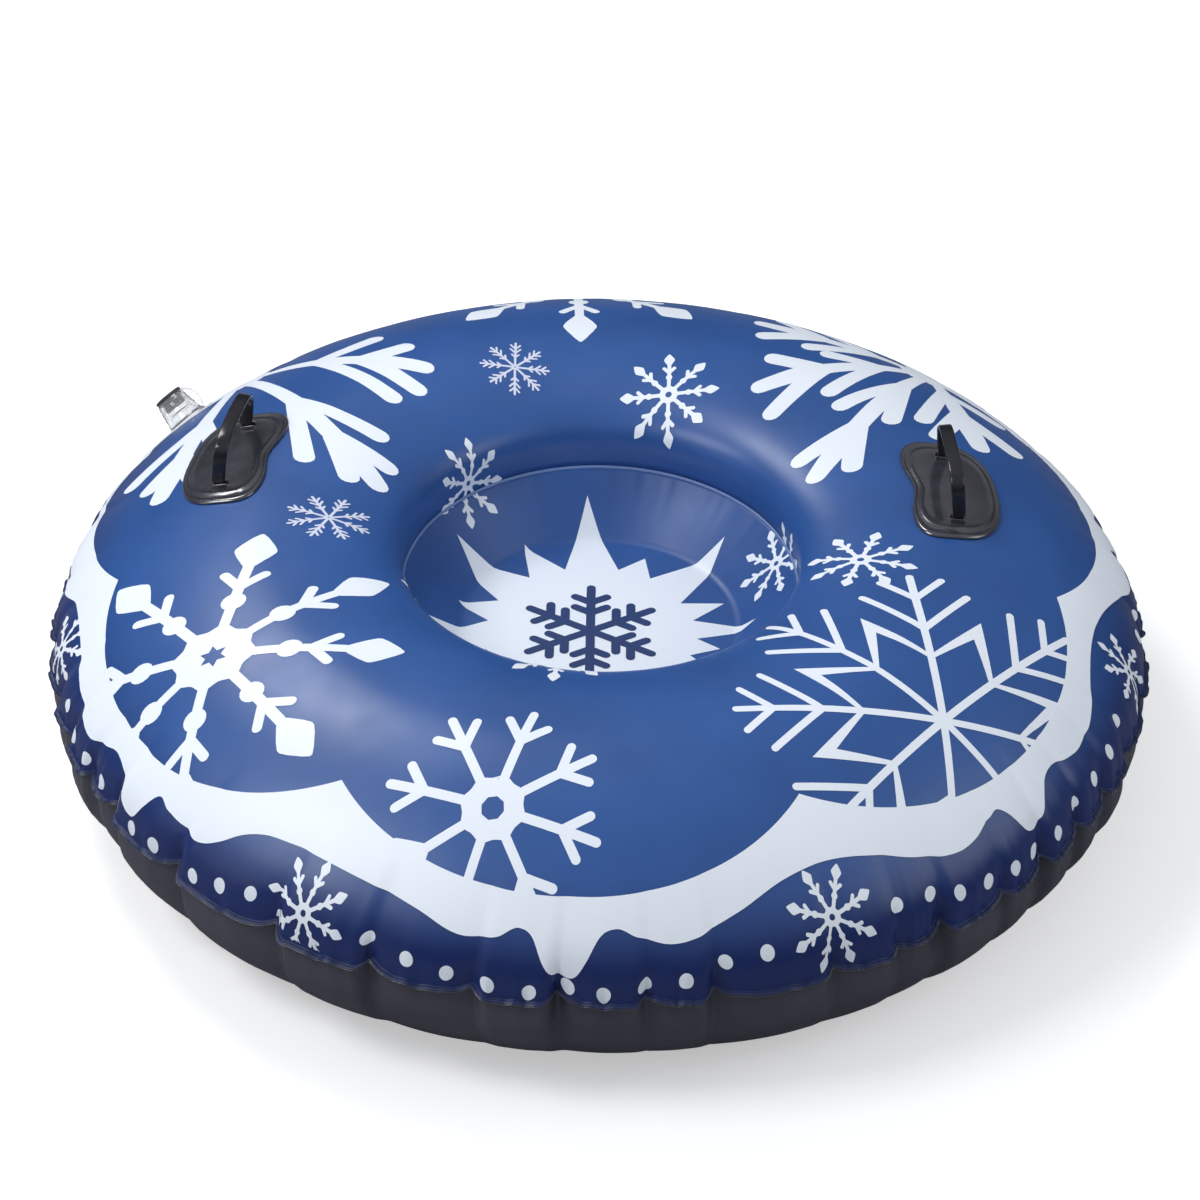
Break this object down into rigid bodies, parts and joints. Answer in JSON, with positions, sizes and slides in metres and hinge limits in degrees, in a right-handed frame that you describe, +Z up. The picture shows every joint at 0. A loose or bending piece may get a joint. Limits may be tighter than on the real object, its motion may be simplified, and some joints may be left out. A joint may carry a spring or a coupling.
{
  "type": "snow tube",
  "caption": "Round inflatable snow tube with a printed top, black underside, sunken seat panel, two carry handles and a clear stopper valve.",
  "frame": {"origin": "on the ground under the centre of the tube", "axes": "+Z up, -Y towards the picture's camera, +X to the right as seen from there; the valve is at the back left"},
  "size_m": [0.971, 0.971, 0.2769],
  "materials": {
    "printed_vinyl": "satin vinyl sheet, deep blue with a white ice and snowflake print",
    "panel_vinyl": "satin vinyl sheet, deep blue with a white ice burst",
    "lower_vinyl": "satin thick black vinyl sheet",
    "handle_vinyl": "smooth moulded black vinyl",
    "clear_vinyl": "clear moulded vinyl",
    "stopper_vinyl": "smoky clear moulded vinyl"
  },
  "bodies": {
    "root": {"top_skin": "printed_vinyl", "bottom_skin": "lower_vinyl", "seat_panel": "panel_vinyl", "left_handle_patch": "handle_vinyl", "right_handle_patch": "handle_vinyl", "valve_body": "clear_vinyl", "valve_tether": "clear_vinyl"},
    "left_handle": {"left_handle_strap": "handle_vinyl"},
    "right_handle": {"right_handle_strap": "handle_vinyl"},
    "stopper": {"valve_stopper": "stopper_vinyl"},
    "flap": {"valve_flap": "clear_vinyl"}
  },
  "joints": [
    {"name": "left_handle_lean", "type": "hinge", "parent": "root", "child": "left_handle", "pos_m": [-0.32751, 0.09642, 0.23009], "axis": [-0.1633, -0.986, 0.0332], "range_deg": [-45, 45], "stiffness_Nm_per_rad": 0.3},
    {"name": "right_handle_lean", "type": "hinge", "parent": "root", "child": "right_handle", "pos_m": [0.30548, 0.05721, 0.23666], "axis": [-0.0673, 0.9976, -0.0181], "range_deg": [-45, 45], "stiffness_Nm_per_rad": 0.3},
    {"name": "stopper_pull", "type": "slide", "parent": "root", "child": "stopper", "axis": [-0.6524, 0.4318, 0.6229], "range_m": [0, 0.014], "deforming": ["valve_tether"]},
    {"name": "flap_open", "type": "hinge", "parent": "root", "child": "flap", "pos_m": [-0.372, 0.24621, 0.15664], "axis": [-0.5519, -0.8339, 0], "range_deg": [0, 55], "stiffness_Nm_per_rad": 0.02, "springref_deg": -2.86}
  ]
}
